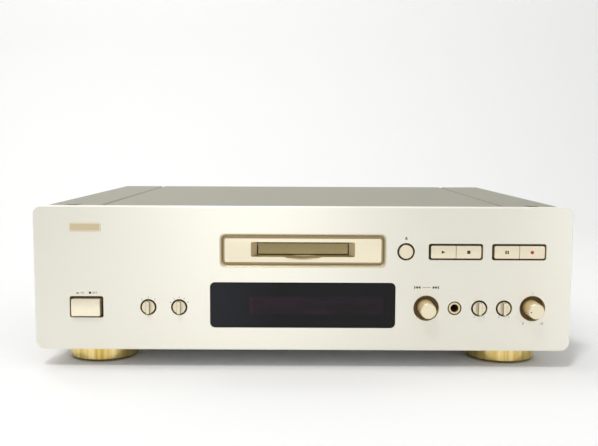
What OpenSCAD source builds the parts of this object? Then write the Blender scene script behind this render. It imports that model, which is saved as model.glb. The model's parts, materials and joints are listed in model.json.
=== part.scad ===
// Small-disc recorder deck: a full-width hi-fi separate with a slot-loading drive.
// +X is the viewer's right, +Y runs back into the cabinet, +Z is up.
// The origin is on the floor, under the middle of the deck.

/* [Cabinet] */
// How far the aluminium front panel stands out past each side cover
panel_over = 7; // [5:0.5:10]
// Height of the front panel
panel_h = 117; // [115:1:124]
// Thickness of the front panel
panel_t = 8; // [7:0.5:10]
// Radius of the front panel's corners
panel_r = 7; // [3:0.5:8]
// Bevel round the front panel's face
panel_bevel = 0.8; // [0.4:0.1:1.5]
// Width over the side covers
body_w = 420; // [416:1:424]
// Depth from the back of the front panel to the rear panel's outer face
body_d = 314; // [300:1:330]
// Height of the front panel's lower edge above the floor
foot_h = 16; // [12:0.5:18]
// Height of the tray's underside above the front panel's lower edge
tray_lift = 3; // [2:0.5:5]
// Drop from the front panel's upper edge to the covers
cover_drop = 0.5; // [0.5:0.25:2]
// Sheet thickness of the tray, the top plate and the rear panel
sheet_t = 1.2; // [1:0.1:1.6]
// Sheet thickness of the side covers
cover_t = 1; // [0.8:0.1:1.2]
// Outer bend radius along the side covers' upper edge
cover_bend_r = 1.5; // [1.3:0.1:3]
// Width of the side covers' upper face
wing_w = 44.4; // [35:0.2:60]
// Height of the tray's side flanges
tray_flange_h = 20; // [14:1:30]

/* [Feet] */
// Diameter of a foot
foot_d = 57.5; // [46:0.5:60]
// Distance from a side cover to a foot's axis
foot_in = 38; // [34:1:50]
// Distance from the panel's face to the front feet's axes
foot_front = 48; // [42:1:60]
// Distance from the rear panel to the rear feet's axes
foot_rear = 48; // [42:1:60]
// Diameter of the pad under a foot
pad_d = 44; // [30:1:50]
// Height of pad that shows under a foot
pad_show = 1; // [0.6:0.1:1.5]

/* [Layout of the front] */
// Height of the upper row of controls above the panel's lower edge
upper_row = 81; // [78:0.5:84]
// Height of the lower row of controls above the panel's lower edge
lower_row = 35; // [33:0.5:37]
// Distance from the middle to the power button, as a share of the cabinet's width
power_share = 0.4167; // [0.405:0.001:0.428]
// Distance from the middle to the timer switch, as a share of the cabinet's width
timer_share = 0.2976; // [0.291:0.001:0.309]
// Distance from the middle to the input selector, as a share of the cabinet's width
input_share = 0.2381; // [0.231:0.001:0.242]
// Distance from the middle to the jog knob, as a share of the cabinet's width
jog_share = 0.2381; // [0.234:0.001:0.242]
// Distance from the middle to the headphone socket, as a share of the cabinet's width
phones_share = 0.2929; // [0.289:0.001:0.295]
// Distance from the middle to the headphone level control, as a share of the cabinet's width
phones_level_share = 0.3405; // [0.337:0.001:0.343]
// Distance from the middle to the balance control, as a share of the cabinet's width
balance_share = 0.3881; // [0.386:0.001:0.39]
// Distance from the middle to the input level control, as a share of the cabinet's width
level_share = 0.4429; // [0.439:0.001:0.446]
// Distance from the middle to the eject button, as a share of the cabinet's width
eject_share = 0.1976; // [0.191:0.001:0.204]
// Distance from the middle to the play and stop pair, as a share of the cabinet's width
play_stop_share = 0.2929; // [0.289:0.001:0.297]
// Distance from the middle to the pause and record pair, as a share of the cabinet's width
pause_rec_share = 0.4143; // [0.41:0.001:0.419]

/* [Disc slot] */
// Width of the slot's bezel
bezel_w = 134; // [128:0.5:137]
// Height of the slot's bezel
bezel_h = 27; // [25:0.5:28]
// Corner radius of the bezel
bezel_r = 4.2; // [3:0.1:5]
// Width of the bezel's raised island
island_w = 126.4; // [120:0.2:127]
// Height of the bezel's raised island
island_h = 19.2; // [18:0.1:20]
// Width of the funnel where it opens
funnel_w = 85.5; // [82:0.5:90]
// Height of the funnel where it opens
funnel_h = 12.2; // [11.6:0.1:13]
// Height of the slot's middle above the panel's lower edge
slot_v = 82.6; // [82:0.1:83]
// Width of a disc cartridge
cartridge_w = 68; // [67.6:0.1:68.4]
// Thickness of a disc cartridge
cartridge_t = 5; // [4.8:0.1:5.2]
// Length of a disc cartridge
cartridge_l = 72; // [71:0.5:73]
// Width of the slot's flap
flap_w = 72.6; // [72:0.1:73]
// Height of the slot's flap
flap_h = 8.6; // [8.4:0.1:8.8]
// Thickness of the slot's flap
flap_t = 1.2; // [1:0.1:1.4]

/* [Display] */
// Width of the display window
window_w = 149.8; // [144:0.2:152]
// Height of the display window
window_h = 37; // [35:0.2:38]
// Corner radius of the display window
window_r = 4; // [2:0.5:6]
// Width of the fluorescent display tube
tube_w = 112; // [100:1:118]
// Height of the fluorescent display tube
tube_h = 24; // [20:1:26]

/* [Buttons] */
// Width of the power button's well
power_well_w = 27.3; // [26:0.1:29]
// Height of the power button's well
power_well_h = 17.6; // [17:0.1:19]
// Width of the power button
power_w = 23; // [20:0.5:24]
// Height of the power button
power_h = 14; // [12:0.5:15]
// How far the power button stands proud when it is off
power_proud = 3.8; // [3.6:0.1:4.5]
// Travel of the power button
power_travel = 3.5; // [2:0.1:3.6]
// Width of a pair of keys' well
well_w = 43.8; // [43:0.1:45]
// Height of a pair of keys' well
well_h = 13.3; // [12.6:0.1:14]
// Width of one key
key_w = 19.9; // [18:0.1:20.2]
// Height of one key
key_h = 10.1; // [9:0.1:11]
// Gap between the two keys of a pair
key_gap = 0.4; // [0.3:0.1:1]
// How far keys stand proud of the panel
key_proud = 1.5; // [1:0.1:2]
// Travel of a key
key_travel = 0.8; // [0.4:0.1:1]
// Diameter of the eject button's well
eject_well_d = 14.2; // [13:0.1:15]
// Diameter of the eject button
eject_d = 11.2; // [10:0.1:12]

/* [Knobs] */
// Diameter of the wells round the jog and level knobs
knob_well_d = 20.8; // [18:0.1:22]
// Diameter of the jog and level knobs at the tip
knob_d = 12.5; // [11:0.1:14]
// How far the jog and level knobs stand proud
knob_proud = 12.5; // [10:0.5:15]
// Travel of the jog knob when it is pushed
jog_travel = 0.6; // [0.3:0.1:0.8]
// Diameter of the wells round the small knobs
small_well_d = 13.3; // [12:0.1:14]
// Diameter of the small knobs
small_knob_d = 10.3; // [9:0.1:11]
// How far the small knobs' grips stand proud
grip_proud = 4.7; // [3:0.1:6]
// Width of the small knobs' grips
grip_w = 2.7; // [2:0.1:3.5]
// Angle of the level knob's dot at rest, clockwise from the top
level_angle = -98; // [-140:1:140]

/* [Sockets] */
// Diameter of the opening round the headphone socket
phones_well_d = 11.3; // [10.6:0.1:12]
// Diameter of the headphone socket's ferrule
phones_ferrule_d = 9.4; // [9:0.1:10]
// Diameter of the headphone socket's bore
phones_bore_d = 6.5; // [6.4:0.05:6.7]
// Diameter of a phono socket's shell
phono_d = 8.3; // [8:0.1:8.4]
// How far the phono sockets stand out behind
jack_proud = 9.5; // [8:0.5:12]
// Spacing of the phono sockets
phono_pitch = 14; // [13:0.5:16]

/* [Drive] */
// Travel of the cam slider
slider_travel = 14; // [10:0.5:15]
// Drop of the cartridge holder
holder_drop = 6; // [5:0.25:6.5]
// Tooth module of the loading gear
gear_module = 0.8; // [0.7:0.1:0.9]
// Teeth on the loading gear
gear_teeth = 24; // [20:1:26]
// Travel of the pickup along its rods
sled_travel = 15; // [12:0.5:15]
// Diameter of the pickup's guide rods
rod_d = 3; // [2.6:0.1:3.2]

/* [Hidden] */
$fn = 64;

// Clearances
fit_gap = 0.15;      // trim in its aperture
run_gap = 0.05;      // shaft in its bush, on the radius
slide_gap = 0.3;     // moving pieces side by side

// Levels
panel_w = body_w + 2 * panel_over;
panel_z = foot_h;
panel_top = panel_z + panel_h;
case_z = panel_z + tray_lift;
case_top = panel_top - cover_drop;
tray_top = case_z + sheet_t;
slot_z = panel_z + slot_v;
upper_z = panel_z + upper_row;
lower_z = panel_z + lower_row;

// Depths, from the tips of the knobs to the tips of the phono sockets
total_d = knob_proud + panel_t + body_d + jack_proud;
y_face = knob_proud - total_d / 2;
y_frame = y_face + panel_t;
frame_t = 3;
y_frame_back = y_frame + frame_t;
board_gap = 11;
board_t = 1.6;
y_board = y_frame_back + board_gap;
y_board_back = y_board + board_t;
y_rear = y_frame + body_d;

// Positions across the front
power_x = -power_share * body_w;
timer_x = -timer_share * body_w;
input_x = -input_share * body_w;
jog_x = jog_share * body_w;
phones_x = phones_share * body_w;
phones_level_x = phones_level_share * body_w;
balance_x = balance_share * body_w;
level_x = level_share * body_w;
eject_x = eject_share * body_w;
play_stop_x = play_stop_share * body_w;
pause_rec_x = pause_rec_share * body_w;
seam_x = body_w / 2 - wing_w;
foot_x = body_w / 2 - foot_in;

// Front frame and board
frame_margin_x = 1.5;
frame_margin_z = 4.5;
frame_w = body_w - 2 * cover_t - 2 * frame_margin_x;
frame_h = panel_h - 2 * frame_margin_z;
boss_r = 3.2;
screw_r = 1.25;
screw_head_r = 2.6;
screw_head_h = 1.6;
boss_side_x = body_w / 2 - 13;
boss_mid_x = window_w / 2 + 11;
front_boss_at = [
    [-boss_side_x, 60], [boss_side_x, 60], [-boss_mid_x, 105], [boss_mid_x, 105],
    [-boss_mid_x, 24], [boss_mid_x, 24]
];
front_board_w = body_w - 16;
front_board_h = 96;
front_board_v = 62;

// Slot bezel and flap, as depths behind the panel's face
bezel_rim = 0.4;
bezel_sink = 0.3;
channel_sink = 3.2;
channel_inset = 2.2;
island_sink = 1;
island_crown = 0.6;
island_r = 1.5;
funnel_depth = 5;
funnel_v = 82.2;
tunnel_gap = 1;
tunnel_w = flap_w + 2 * tunnel_gap;
tunnel_h = flap_h + 2 * tunnel_gap - 0.4;
scoop_w = 30;
scoop_drop = 2.4;
flange_t = 2;
flange_lip = 3;
flap_sink = 5.4;
flap_pin_r = 0.8;
flap_pin_l = 1.6;
flap_y = y_face + flap_sink + flap_t / 2 + 0.2;
flap_z = slot_z + flap_h / 2 - flap_pin_r;

// Display
window_v = 37;
window_sink = 0.6;
tube_x = 11;
tube_t = 7.5;
sensor_x = -61;

// Keys and their switches
key_crown = 0.35;
key_r = 1.2;
key_back = panel_t - key_travel - 0.7;
stem_w = 6;
stem_h = 3;
collar_w = 8.4;
collar_t = 1;
nose_r = 1.5;
switch_w = 6;
switch_t = 5;
switch_well_r = nose_r + 0.3;
switch_well = 3;
key_pitch = (key_w + key_gap) / 2;
key_at = [
    [eject_x, upper_z],
    [play_stop_x - key_pitch, upper_z],
    [play_stop_x + key_pitch, upper_z],
    [pause_rec_x - key_pitch, upper_z],
    [pause_rec_x + key_pitch, upper_z]
];
power_rod = 5;
power_switch_l = 20;
power_rod_in = 5;

// Knobs, their shafts and their bushes
shaft_r = 2;
bush_r = 3.6;
control_w = 11;
control_h = 12;
control_l = y_board - y_frame_back - 2;
shaft_end = y_board - 2;
knob_back = 5.5;
knob_taper = 0.3;
small_back = 6;
jog_shaft_r = 3;
plunger_t = 0.9;
plunger_end_t = 1;
small_at = [timer_x, input_x, phones_level_x, balance_x];

// Headphone socket
phones_sink = 0.5;
phones_body_w = 13;
phones_body_h = 15;
phones_body_y = y_frame_back + 1;
phones_body_l = 18;
phones_bore_l = 26;

// Cabinet fixings
side_screw_y = [y_frame + 30, y_rear - 30];
side_screw_z = case_z + 12;
rear_screw_x = [-body_w / 3, 0, body_w / 3];
rear_flange_h = 13;
case_screw_r = 1.5;
case_head_r = 3.6;
case_head_h = 2;
case_screw_l = 4;
seam_gap = 0.5;
seam_edge = seam_x + seam_gap / 2;   // inner edge of a side cover
plate_half = seam_x - seam_gap / 2;
seam_fall_w = 2.4;                   // width over which a sheet bends down to the seam
seam_fall = 1.1;                     // how far it bends down
seam_web = 3;
dish_x = body_w / 2 - 20;
dish_y = y_face + 22;
dish_r = 8;
dish_depth = 1.6;
lip_w = 12;
lip_gap = 0.1;
tray_w = body_w - 2 * cover_t - 2 * lip_gap;
tray_y1 = y_rear - sheet_t - lip_gap;
tray_lip_h = 8;
rear_low_z = case_z + 5;
rear_high_z = case_top - 8;
rear_flange_y = tray_y1 - sheet_t;
shelf_w = 12;
shelf_x = dish_x - shelf_w / 2;
shelf_t = 2.8;
shelf_z = case_top - dish_depth - cover_t - shelf_t;

// Feet, as [x, y]
foot_at = [for (x = [-foot_x, foot_x], y = [y_face + foot_front, y_rear - foot_rear]) [x, y]];
foot_screw_r = 2;
foot_head_r = 4;
foot_screw_l = 8;
pad_in = 1;

// Drive
mech_y = y_face + 17;                       // front of the cartridge holder
disc_y = mech_y + 1 + cartridge_l / 2;      // axis of the disc
holder_t = 0.8;
holder_gap = 0.4;
holder_in_w = cartridge_w + 2 * holder_gap;
holder_in_h = cartridge_t + 0.6;
holder_l = cartridge_l + 2;
holder_out_w = holder_in_w + 2 * holder_t;
holder_out_h = holder_in_h + 2 * holder_t;
holder_lip = 6;
pin_r = 1.2;
pin_y = [disc_y - 12, disc_y + 26];
wall_x = holder_out_w / 2 + 1.8;            // inner face of the base's uprights
wall_t = 1.2;
slider_x = wall_x + wall_t + slide_gap;     // inner face of the cam slider
slider_t = 1.8;
slider_l = 76;
pin_l = slider_x + slider_t + 0.8 - holder_out_w / 2;
base_z = slot_z - 24;
base_t = 1.5;
base_top = base_z + base_t;
base_x0 = -66;
base_x1 = 68;
base_y0 = mech_y + 7;
base_y1 = disc_y + 48;
cam_angle = atan(holder_drop / slider_travel);
gear_r = gear_module * gear_teeth / 2;
gear_z = slot_z - 15;
gear_t = 3;
tooth_slack = 0.12;
rack_x = slider_x + slider_t + 1.1 * gear_module;   // pitch line of the rack
gear_y = disc_y + 6;
gear_x = -rack_x - gear_r;
motor_r = 9;
motor_l = 7;
pressure_angle = 20;
base_r = gear_r * cos(pressure_angle);
gear_shaft_r = 1.5;
gear_shaft_l = 5.5;
spindle_shaft_r = 1;
spindle_shaft_l = 6;

// Pickup
rod_z = slot_z - 16;
rod_dy = 13;
rod_x0 = -8;
lens_x = 14.5;
sled_z = slot_z - 20;
sled_h = 8;
sled_x0 = lens_x - 2.7;
sled_w = 29;
sled_d = 34;
rod_x1 = sled_x0 + sled_w + sled_travel + 6.2;
post_x = holder_out_w / 2 + 1.2;
post_w = 4;
post_d = 10;
arm_pivot_x = post_x + post_w / 2;
arm_pivot_z = slot_z + 8.5;
arm_pin_r = 1;
spindle_r = 11;
spindle_h = 8;
table_r = 8;
table_z = slot_z - 11.5;
screw_y = disc_y - 21;
screw_x1 = rod_x1 - 10;
feed_r = 5;
feed_l = 12;
feed_x = -8;
lead_r = 1.5;
lead_in = 6;
support_w = 6;
window_x0 = 8;
window_x1 = 34;
window_half = 7;

// Bracket that carries the drive
bracket_z = base_z - 4.5;
bracket_t = 1.5;
bracket_x0 = -60;
bracket_x1 = 64;
bracket_y0 = base_y0 + 4;
bracket_y1 = base_y1 - 4;
bracket_rail = 14;
bracket_foot = 10;
damper_r = 5;
damper_dx = 6;
damper_dy = 7;

// Boards and power supply
standoff_h = 8;
standoff_r = 3;
board_z = tray_top + standoff_h;
board_edge = 8;
board_w = 122;
main_x1 = body_w / 2 - board_edge;
main_x0 = main_x1 - board_w;
main_in = 70;
main_y0 = y_face + main_in;
main_y1 = y_rear - sheet_t - 1;
power_x0 = -main_x1;
power_x1 = -main_x0;
power_in = 140;
power_d = 104;
power_y0 = y_rear - power_in;
power_y1 = power_y0 + power_d;
board_inset = 6;
standoff_at = [
    for (x = [main_x0 + board_inset, main_x1 - board_inset])
        for (y = [main_y0 + board_inset, main_y1 - board_inset]) [x, y],
    for (x = [power_x0 + board_inset, power_x1 - board_inset])
        for (y = [power_y0 + board_inset, power_y1 - board_inset]) [x, y]
];
transformer_x = -(main_x0 + board_w / 2);
transformer_in = 108;
transformer_y = y_face + transformer_in;
core_w = 66;
core_d = 34;
core_h = 55;
coil_over = 13;

// Sockets on the rear
phono_x = main_x0 + 18;
phono_z = board_z + board_t + 8;
phono_body = 11;
phono_collar_r = phono_d / 2 + 1.2;
phono_collar_h = 1;
coax_x = main_x0 + 52;
phono_at = [
    [phono_x, phono_z], [phono_x + phono_pitch, phono_z],
    [phono_x, phono_z + phono_pitch], [phono_x + phono_pitch, phono_z + phono_pitch],
    [coax_x, phono_z]
];
phono_pin_r = 1.65;
phono_pin_l = 9;
optical_in = 70;
optical_pitch = 17;
optical_x = [for (i = [0 : 2]) main_x0 + optical_in + i * optical_pitch];
optical_w = 13;
optical_h = 11;
optical_l = 13;
optical_proud = 1;
optical_port = 8;
optical_z = board_z + board_t + optical_h / 2;
inlet_x = power_x0 + 34;
inlet_z = case_z + 36;
inlet_w = 25;
inlet_h = 16;
inlet_l = 18;
inlet_port_w = 15.6;
inlet_port_h = 9;

// ---------------------------------------------------------------- helpers

// A flat shape drawn in X and Z, from depth y0 back through depth
module prism_y(y0, depth) {
    translate([0, y0 + depth, 0])
        rotate([90, 0, 0])
            linear_extrude(depth)
                children();
}

// A rod along +Y
module rod_y(at, r, depth) {
    translate(at)
        rotate([-90, 0, 0])
            cylinder(r = r, h = depth);
}

// A rod along +X
module rod_x(at, r, length) {
    translate(at)
        rotate([0, 90, 0])
            cylinder(r = r, h = length);
}

module round_rect(w, h, r) {
    square([w - 2 * r, h], center = true);
    square([w, h - 2 * r], center = true);
    for (x = [-1, 1], y = [-1, 1])
        translate([x * (w / 2 - r), y * (h / 2 - r)])
            circle(r = r);
}

// A block seen from the front, its corner nearest the origin at (x0, y0, z0)
module block(x0, y0, z0, w, d, h) {
    translate([x0, y0, z0])
        cube([w, d, h]);
}

// A rounded slab facing -Y, centred on X and Z, bevelled round its face
module bevelled_slab(w, h, r, y0, depth, bevel) {
    y1 = y0 + depth;
    for (x = [-1, 1], z = [-1, 1])
        translate([x * (w / 2 - r), y0, z * (h / 2 - r)])
            rotate([-90, 0, 0])
                rotate_extrude()
                    polygon([[0, 0], [r - bevel, 0], [r, bevel], [r, depth], [0, depth]]);
    rotate([90, 0, 90])
        translate([0, 0, r - w / 2])
            linear_extrude(w - 2 * r)
                polygon([
                    [y0, bevel - h / 2], [y0 + bevel, -h / 2], [y1, -h / 2],
                    [y1, h / 2], [y0 + bevel, h / 2], [y0, h / 2 - bevel]
                ]);
    translate([0, 0, r - h / 2])
        linear_extrude(h - 2 * r)
            polygon([
                [bevel - w / 2, y0], [w / 2 - bevel, y0], [w / 2, y0 + bevel],
                [w / 2, y1], [-w / 2, y1], [-w / 2, y0 + bevel]
            ]);
}

// A slab facing -Y whose face is crowned from top to bottom
module crowned_slab(w, h, r, y0, depth, crown) {
    crown_r = (h * h / 4 + crown * crown) / (2 * crown);
    intersection() {
        prism_y(y0, depth)
            round_rect(w, h, r);
        translate([-w, y0 + crown_r, 0])
            rotate([0, 90, 0])
                cylinder(r = crown_r, h = 2 * w, $fn = 180);
    }
}

// A screw whose head rests at z = 0 and whose shank points down
module screw(r, head_r, head_h, length) {
    cylinder(r = head_r, h = head_h);
    translate([0, 0, -length])
        cylinder(r = r, h = length);
}

// ---------------------------------------------------------------- front panel

module at_front(x, z) {
    translate([x, 0, z])
        children();
}

module front_panel() {
    bore_d = panel_t + 2;
    color([0.90, 0.88, 0.80])
        difference() {
            at_front(0, panel_z + panel_h / 2)
                bevelled_slab(panel_w, panel_h, panel_r, y_face, panel_t, panel_bevel);
            at_front(0, panel_z + upper_row + 0.5)
                prism_y(y_face - 1, bore_d)
                    round_rect(bezel_w + 2 * fit_gap, bezel_h + 2 * fit_gap, bezel_r);
            at_front(0, panel_z + window_v)
                prism_y(y_face - 1, bore_d)
                    round_rect(window_w + 2 * fit_gap, window_h + 2 * fit_gap, window_r);
            at_front(power_x, lower_z)
                prism_y(y_face - 1, bore_d)
                    round_rect(power_well_w, power_well_h, 1.6);
            for (x = [play_stop_x, pause_rec_x])
                at_front(x, upper_z)
                    prism_y(y_face - 1, bore_d)
                        round_rect(well_w, well_h, 1.9);
            rod_y([eject_x, y_face - 1, upper_z], eject_well_d / 2, bore_d);
            for (x = [jog_x, level_x])
                rod_y([x, y_face - 1, lower_z], knob_well_d / 2, bore_d);
            for (x = small_at)
                rod_y([x, y_face - 1, lower_z], small_well_d / 2, bore_d);
            rod_y([phones_x, y_face - 1, lower_z], phones_well_d / 2, bore_d);
        }
}

// Plain plate near the panel's upper left corner
module badge_plate() {
    badge_w = 25;
    badge_h = 6.8;
    badge_t = 0.6;
    badge_v = 100;
    color([0.80, 0.68, 0.42])
        at_front(power_x, panel_z + badge_v)
            bevelled_slab(badge_w, badge_h, 0.8, y_face - badge_t, badge_t, 0.2);
}

// Moulded inner front that closes the wells and carries the front board
module front_frame() {
    hole_d = frame_t + 2;
    color([0.45, 0.38, 0.27])
        difference() {
            union() {
                at_front(0, panel_z + panel_h / 2)
                    prism_y(y_frame, frame_t)
                        round_rect(frame_w, frame_h, 3);
                for (p = front_boss_at)
                    rod_y([p[0], y_frame_back, panel_z + p[1]], boss_r, board_gap);
                at_both_sides()
                    block(shelf_x, y_frame, shelf_z, shelf_w, dish_y + 7 - y_frame, shelf_t);
            }
            at_both_sides()
                translate([dish_x, dish_y, shelf_z - 1])
                    cylinder(r = case_screw_r + run_gap, h = shelf_t + 2);
            at_front(0, panel_z + upper_row + 0.5)
                prism_y(y_frame - 1, hole_d)
                    square([bezel_w + 2 * flange_lip + 2 * fit_gap,
                            bezel_h + 2 * flange_lip + 2 * fit_gap], center = true);
            at_front(0, panel_z + window_v)
                prism_y(y_frame - 1, hole_d)
                    square([window_w + 2 * flange_lip + 2 * fit_gap,
                            window_h + 2 * flange_lip + 2 * fit_gap], center = true);
            for (p = key_at)
                at_front(p[0], p[1])
                    prism_y(y_frame - 1, hole_d)
                        square([stem_w + 2 * slide_gap, stem_h + 2 * slide_gap], center = true);
            at_front(power_x, lower_z)
                prism_y(y_frame - 1, hole_d)
                    square(power_rod + 2 * slide_gap, center = true);
            for (x = concat(small_at, [level_x]))
                rod_y([x, y_frame - 1, lower_z], bush_r + slide_gap, hole_d);
            rod_y([jog_x, y_frame - 1, lower_z], jog_bush_r() + slide_gap, hole_d);
            rod_y([phones_x, y_frame - 1, lower_z], phones_ferrule_d / 2 + slide_gap, hole_d);
            for (p = front_boss_at)
                rod_y([p[0], y_frame_back, panel_z + p[1]], screw_r, board_gap + 1);
        }
}

// ---------------------------------------------------------------- slot

// The space between two rounded rectangles, as for a bevel or a funnel
module frustum_y(w0, h0, r0, y0, w1, h1, r1, y1, shift) {
    thin = 0.01;
    hull() {
        prism_y(y0, thin)
            round_rect(w0, h0, r0, $fn = 32);
        translate([0, 0, shift])
            prism_y(y1 - thin, thin)
                round_rect(w1, h1, r1, $fn = 32);
    }
}

module slot_bezel() {
    back = panel_t + flange_t;
    mid = upper_row + 0.5;
    pocket_x = tunnel_w / 2 + 5;
    pocket_w = bezel_w / 2 - 3 - pocket_x;
    scoop_r = (scoop_w * scoop_w / 4 + scoop_drop * scoop_drop) / (2 * scoop_drop);
    scoop_v = funnel_v - funnel_h / 2;
    color([0.89, 0.82, 0.66])
        difference() {
            union() {
                at_front(0, panel_z + mid)
                    difference() {
                        prism_y(y_face + bezel_sink, back - bezel_sink)
                            round_rect(bezel_w, bezel_h, bezel_r);
                        frustum_y(
                            bezel_w - 2 * bezel_rim, bezel_h - 2 * bezel_rim, bezel_r - bezel_rim,
                            y_face + bezel_sink - 0.02,
                            bezel_w - 2 * channel_inset, bezel_h - 2 * channel_inset,
                            bezel_r - channel_inset / 2, y_face + channel_sink, 0
                        );
                    }
                at_front(0, panel_z + mid)
                    crowned_slab(
                        island_w, island_h, island_r,
                        y_face + island_sink, channel_sink - island_sink + 1, island_crown
                    );
                at_front(0, panel_z + mid)
                    prism_y(y_frame, flange_t)
                        square([bezel_w + 2 * flange_lip, bezel_h + 2 * flange_lip],
                               center = true);
            }
            at_front(0, panel_z + funnel_v)
                frustum_y(
                    funnel_w, funnel_h, 1.2, y_face + island_sink - 0.4,
                    tunnel_w, tunnel_h, 0.8, y_face + funnel_depth, slot_v - funnel_v
                );
            at_front(0, slot_z)
                prism_y(y_face + funnel_depth - 0.1, back)
                    round_rect(tunnel_w, tunnel_h, 0.8);
            intersection() {
                translate([0, y_face + island_sink - 0.1, panel_z + scoop_v - scoop_drop + scoop_r])
                    rotate([-90, 0, 0])
                        cylinder(r1 = scoop_r + 0.3, r2 = scoop_r - 3, h = 4, $fn = 180);
                block(-scoop_w, y_face - 1, panel_z + scoop_v - 2 * scoop_drop,
                      2 * scoop_w, 8, 2 * scoop_drop + 2);
            }
            rod_x([-flap_w / 2 - flap_pin_l - slide_gap, flap_y, flap_z],
                  flap_pin_r + run_gap, flap_w + 2 * (flap_pin_l + slide_gap));
            for (x = [-pocket_x - pocket_w, pocket_x])
                block(x, y_face + channel_sink + 2, panel_z + mid - bezel_h / 2 + 3,
                      pocket_w, back, bezel_h - 6);
        }
}

module slot_flap() {
    color([0.64, 0.59, 0.40])
        union() {
            at_front(0, slot_z)
                prism_y(y_face + flap_sink, flap_t)
                    square([flap_w, flap_h], center = true);
            rod_x([-flap_w / 2 - flap_pin_l, flap_y, flap_z], flap_pin_r, flap_w + 2 * flap_pin_l);
        }
}

// ---------------------------------------------------------------- display

module display_window() {
    color([0.05, 0.05, 0.07])
        at_front(0, panel_z + window_v)
            union() {
                bevelled_slab(window_w, window_h, window_r,
                              y_face + window_sink, panel_t - window_sink + flange_t, 0.3);
                prism_y(y_frame, flange_t)
                    square([window_w + 2 * flange_lip, window_h + 2 * flange_lip], center = true);
            }
}

module display_tube() {
    color([0.18, 0.13, 0.17])
        at_front(tube_x, panel_z + window_v)
            bevelled_slab(tube_w, tube_h, 1, y_board - tube_t, tube_t, 0.6);
}

module remote_sensor() {
    sensor_w = 9;
    sensor_t = 6;
    color([0.15, 0.10, 0.12])
        union() {
            at_front(sensor_x, panel_z + window_v)
                prism_y(y_board - sensor_t, sensor_t)
                    square([sensor_w, sensor_w + 2], center = true);
            rod_y([sensor_x, y_board - sensor_t - 2, panel_z + window_v], 3, 3);
        }
}

module front_board() {
    slot_clear_w = 90;
    slot_clear_h = 26;
    color([0.62, 0.50, 0.28])
        difference() {
            at_front(0, panel_z + front_board_v)
                prism_y(y_board, board_t)
                    square([front_board_w, front_board_h], center = true);
            at_front(0, slot_z)
                prism_y(y_board - 1, board_t + 2)
                    square([slot_clear_w, slot_clear_h], center = true);
            at_front(power_x, lower_z)
                prism_y(y_board - 1, board_t + 2)
                    square(power_rod + 4, center = true);
            at_front(phones_x, lower_z)
                prism_y(y_board - 1, board_t + 2)
                    square([phones_body_w + 1, phones_body_h + 1], center = true);
            for (p = front_boss_at)
                rod_y([p[0], y_board - 1, panel_z + p[1]], screw_r + 0.1, board_t + 2);
        }
}

// ---------------------------------------------------------------- keys

// The part of a key behind its cap: stem, collar behind the frame, and nose in the switch
module key_stem() {
    collar_y = y_frame_back + slide_gap;
    nose_end = y_board - switch_t + 1;
    prism_y(y_face + key_back - 0.5, collar_y - y_face - key_back + 0.5)
        square([stem_w, stem_h], center = true);
    prism_y(collar_y, collar_t)
        square([collar_w, stem_h], center = true);
    rod_y([0, collar_y, 0], nose_r, nose_end - collar_y);
}

// Corners are rounded only on the side that lies against the well
module key_cap(outer) {
    intersection() {
        translate([-outer * key_r, 0, 0])
            crowned_slab(key_w + 2 * key_r, key_h, key_r,
                         y_face - key_proud, key_proud + key_back, key_crown);
        prism_y(y_face - key_proud - 1, key_proud + key_back + 2)
            square([key_w, key_h], center = true);
    }
}

module key(at, outer) {
    color([0.90, 0.84, 0.72])
        at_front(at[0], at[1])
            union() {
                key_cap(outer);
                key_stem();
            }
}

module eject_button() {
    eject_proud = 1;
    eject_bevel = 0.5;
    color([0.90, 0.84, 0.72])
        at_front(eject_x, upper_z)
            union() {
                rod_y([0, y_face - eject_proud + eject_bevel, 0], eject_d / 2,
                      eject_proud - eject_bevel + key_back);
                translate([0, y_face - eject_proud, 0])
                    rotate([-90, 0, 0])
                        cylinder(r1 = eject_d / 2 - eject_bevel, r2 = eject_d / 2,
                                 h = eject_bevel);
                key_stem();
            }
}

module play_button() {
    key(key_at[1], -1);
}

module stop_button() {
    key(key_at[2], 1);
}

module pause_button() {
    key(key_at[3], -1);
}

module rec_button() {
    key(key_at[4], 1);
}

module key_switches() {
    color([0.15, 0.15, 0.16])
        for (p = key_at)
            at_front(p[0], p[1])
                difference() {
                    prism_y(y_board - switch_t, switch_t)
                        square(switch_w, center = true);
                    rod_y([0, y_board - switch_t - 1, 0], switch_well_r, switch_well + 1);
                }
}

module power_button() {
    power_crown = 0.7;
    power_r = 1.1;
    rod_end = y_board_back + power_rod_in;
    color([0.90, 0.84, 0.70])
        at_front(power_x, lower_z)
            union() {
                crowned_slab(power_w, power_h, power_r, y_face - power_proud,
                             power_proud + panel_t - power_travel - slide_gap, power_crown);
                prism_y(y_face, rod_end - y_face)
                    square(power_rod, center = true);
            }
}

module power_switch() {
    body_w = 18;
    body_h = 15;
    color([0.10, 0.10, 0.11])
        at_front(power_x, lower_z)
            difference() {
                prism_y(y_board_back, power_switch_l)
                    square([body_w, body_h], center = true);
                prism_y(y_board_back - 1, power_rod_in + power_travel + 2)
                    square(power_rod + 2 * slide_gap, center = true);
            }
}

// ---------------------------------------------------------------- knobs

function jog_bush_r() = jog_shaft_r + plunger_t + run_gap + 1.2;

// A tapered knob that stands out of its well
module long_knob() {
    dome = 0.5;
    length = knob_proud + knob_back;
    translate([0, y_face - knob_proud, 0])
        rotate([-90, 0, 0])
            union() {
                cylinder(r1 = knob_d / 2 - dome, r2 = knob_d / 2, h = dome);
                translate([0, 0, dome])
                    cylinder(r1 = knob_d / 2, r2 = knob_d / 2 + knob_taper, h = length - dome);
            }
}

module jog_knob() {
    color([0.89, 0.83, 0.68])
        at_front(jog_x, lower_z)
            difference() {
                long_knob();
                rod_y([0, y_face - knob_proud + 3, 0], jog_shaft_r, knob_proud + knob_back);
            }
}

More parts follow.
